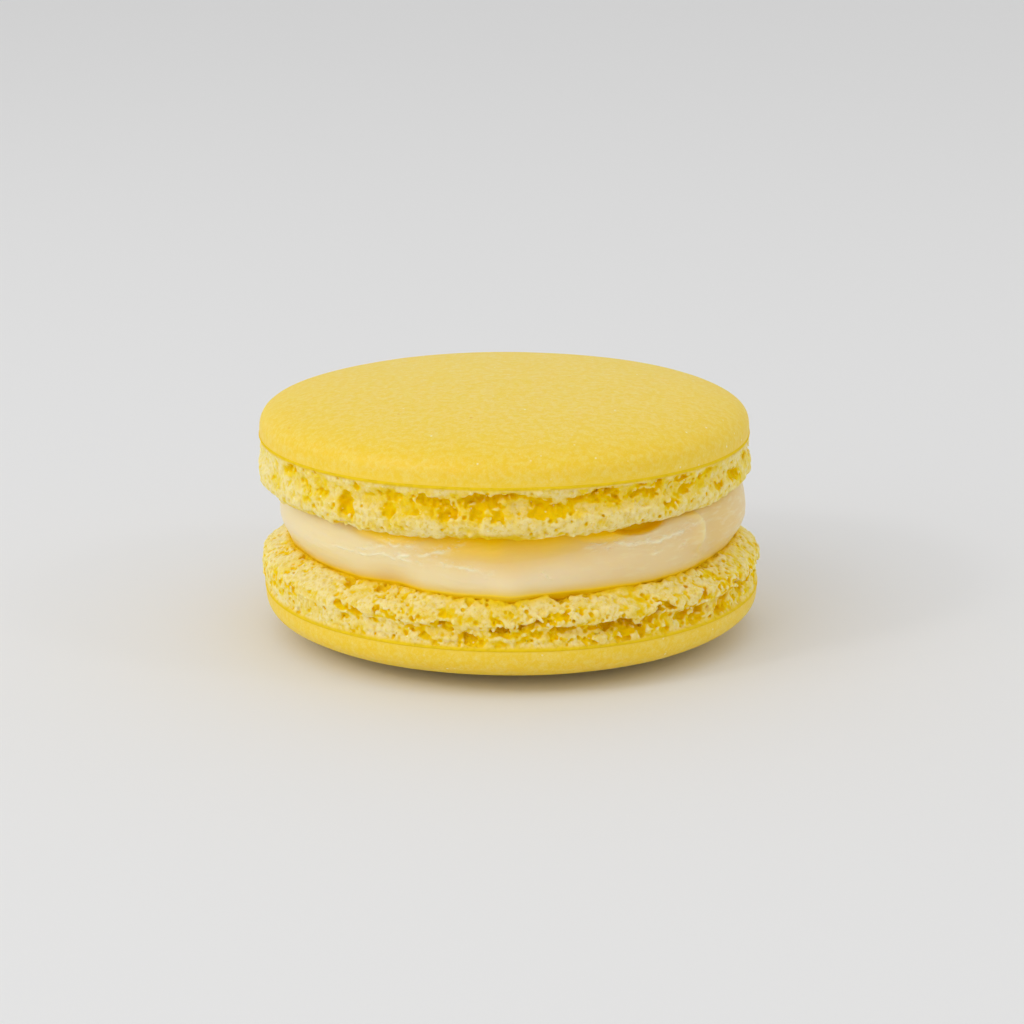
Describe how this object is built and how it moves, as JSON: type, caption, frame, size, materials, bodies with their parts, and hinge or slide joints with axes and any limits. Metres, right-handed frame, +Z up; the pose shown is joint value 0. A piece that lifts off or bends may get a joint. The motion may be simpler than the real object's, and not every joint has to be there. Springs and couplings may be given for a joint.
{
  "type": "lemon french macaron",
  "caption": "Round almond meringue sandwich biscuit: two smooth domed shells with craggy feet and a buttercream layer between them.",
  "frame": {"origin": "middle of the flat spot on the underside that the macaron stands on", "axes": "+Z up through the middle of the macaron; -Y is its front, where the filling's main swell is"},
  "size_m": [0.0466, 0.0463, 0.0233],
  "materials": {
    "meringue": "matte smooth yellow crust over a porous, paler yellow crumb",
    "buttercream": "soft pale cream with a faint gloss"
  },
  "bodies": {
    "root": {"shell_bottom": "meringue", "filling": "buttercream", "shell_top": "meringue"}
  },
  "joints": []
}
